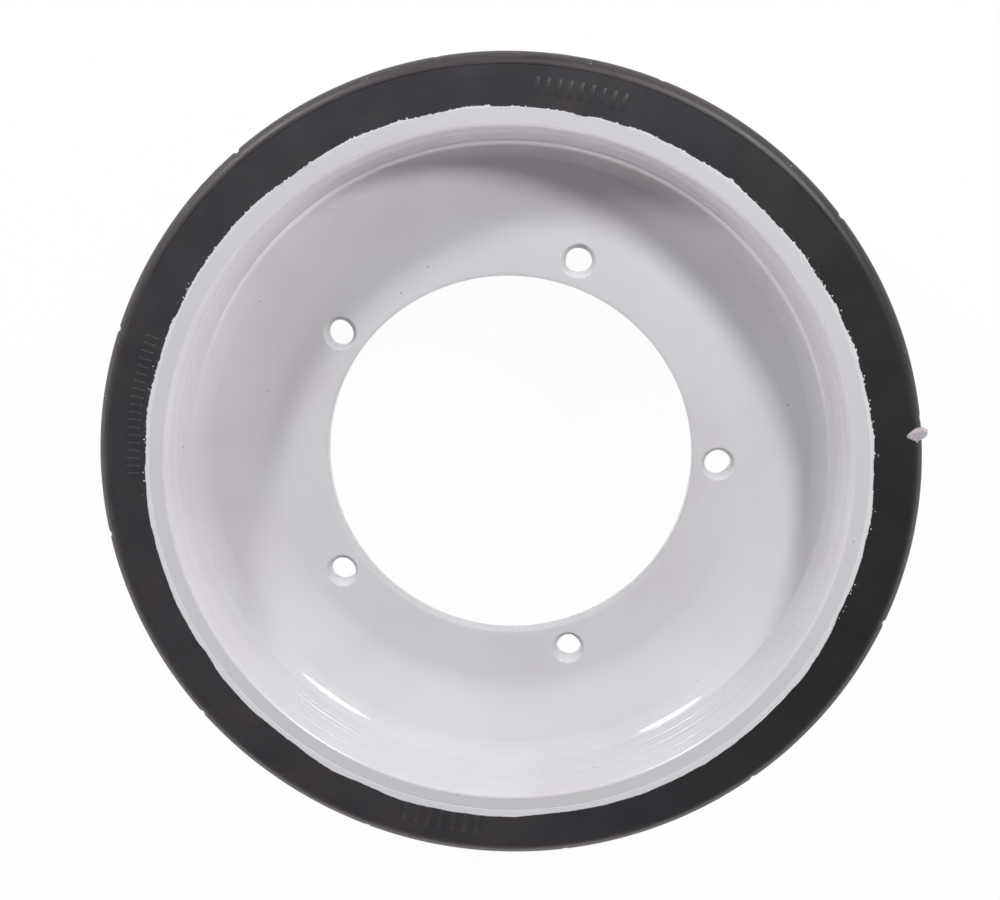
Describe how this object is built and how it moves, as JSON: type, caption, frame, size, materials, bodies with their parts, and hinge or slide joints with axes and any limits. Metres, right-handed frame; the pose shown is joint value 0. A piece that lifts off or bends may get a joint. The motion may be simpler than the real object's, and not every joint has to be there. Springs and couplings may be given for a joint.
{
  "type": "platform wheel with solid tyre",
  "caption": "Dished white cast wheel with a large centre bore and a ring of bolt holes, in a smooth solid black rubber tyre.",
  "frame": {"origin": "centre of the bore in the wheel's mounting face, which seats on the hub", "axes": "+Z along the axle, towards the dished outer side; +X to the right and +Y up as the picture shows the wheel"},
  "size_m": [0.407, 0.406, 0.1262],
  "materials": {
    "wheel_paint": "white gloss enamel over a turned and cast steel surface",
    "tyre_rubber": "moulded solid rubber, semi-matt"
  },
  "bodies": {
    "root": {"wheel": "wheel_paint", "tyre": "tyre_rubber", "paint_dab": "wheel_paint"}
  },
  "joints": []
}
